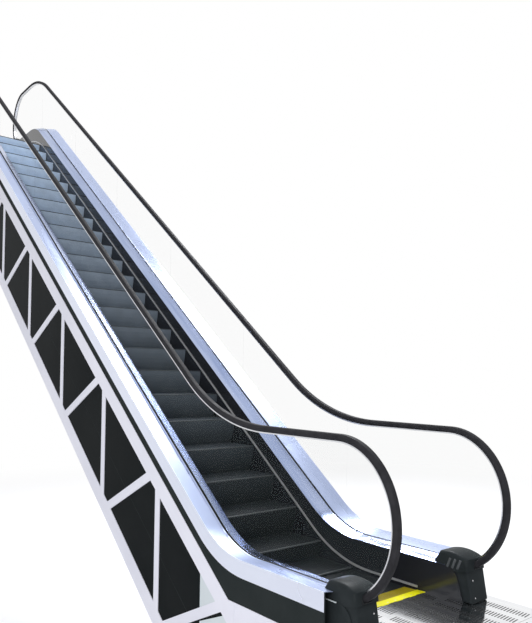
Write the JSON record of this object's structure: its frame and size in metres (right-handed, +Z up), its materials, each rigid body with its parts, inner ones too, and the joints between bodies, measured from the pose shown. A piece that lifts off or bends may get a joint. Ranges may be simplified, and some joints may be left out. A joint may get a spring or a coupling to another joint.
{
  "type": "escalator",
  "caption": "Single escalator at 35 degrees: lattice truss with dark infill, glass balustrades with black handrails, cleated steps, yellow combs and ribbed landing plates.",
  "frame": {"origin": "middle of the underside of the lower support angle, where the machine bears on the edge of the lower floor", "axes": "+X to the right when riding up, +Y along the flight towards the upper floor, +Z up"},
  "size_m": [1.34, 12.7549, 7.571],
  "materials": {
    "truss_paint": "satin off-white paint",
    "plate_grey": "satin pale grey paint",
    "infill_black": "gloss black enamel",
    "deck_white": "satin white coating",
    "deck_inner": "bright brushed sheet",
    "clamp_metal": "dark anodised with black rubber lips",
    "skirt_dark": "low friction gloss coating",
    "brush_metal": "bright anodised",
    "glass": "clear toughened",
    "rubber_black": "polished by hands",
    "guide_metal": "bright",
    "cap_black": "moulded, fine grain",
    "comb_yellow": "moulded",
    "step_metal": "die cast, dark painted",
    "plate_metal": "ribbed extrusion",
    "steel_inner": "plain mill finish"
  },
  "bodies": {
    "root": {"comb_lower": "comb_yellow", "comb_plate_lower": "plate_metal", "comb_plate_upper": "plate_metal", "comb_upper": "comb_yellow", "cross_beams": "steel_inner", "deck_apron_left": "infill_black", "deck_apron_right": "infill_black", "end_plates": "truss_paint", "floor_covers_lower": "plate_metal", "floor_covers_upper": "plate_metal", "glass_clamp_left": "clamp_metal", "glass_clamp_right": "clamp_metal", "glass_left": "glass", "glass_right": "glass", "handrail_guide_left": "guide_metal", "handrail_guide_right": "guide_metal", "handrail_left": "rubber_black", "handrail_right": "rubber_black", "inner_deck_left": "deck_inner", "inner_deck_right": "deck_inner", "newel_cap_lower_left": "cap_black", "newel_cap_lower_right": "cap_black", "newel_cap_upper_left": "cap_black", "newel_cap_upper_right": "cap_black", "outer_deck_left": "deck_white", "outer_deck_right": "deck_white", "side_infill_left": "infill_black", "side_infill_right": "infill_black", "side_plate_left": "plate_grey", "side_plate_right": "plate_grey", "skirt_brush_left": "brush_metal", "skirt_brush_right": "brush_metal", "skirt_left": "skirt_dark", "skirt_right": "skirt_dark", "soffit": "truss_paint", "step_rails": "steel_inner", "steps_1": "step_metal", "steps_2": "step_metal", "steps_3": "step_metal", "steps_4": "step_metal", "steps_5": "step_metal", "support_angle_lower": "truss_paint", "support_angle_upper": "truss_paint", "truss_incline_left": "truss_paint", "truss_incline_right": "truss_paint", "truss_lower_left": "truss_paint", "truss_lower_right": "truss_paint", "truss_upper_left": "truss_paint", "truss_upper_right": "truss_paint"}
  },
  "joints": []
}
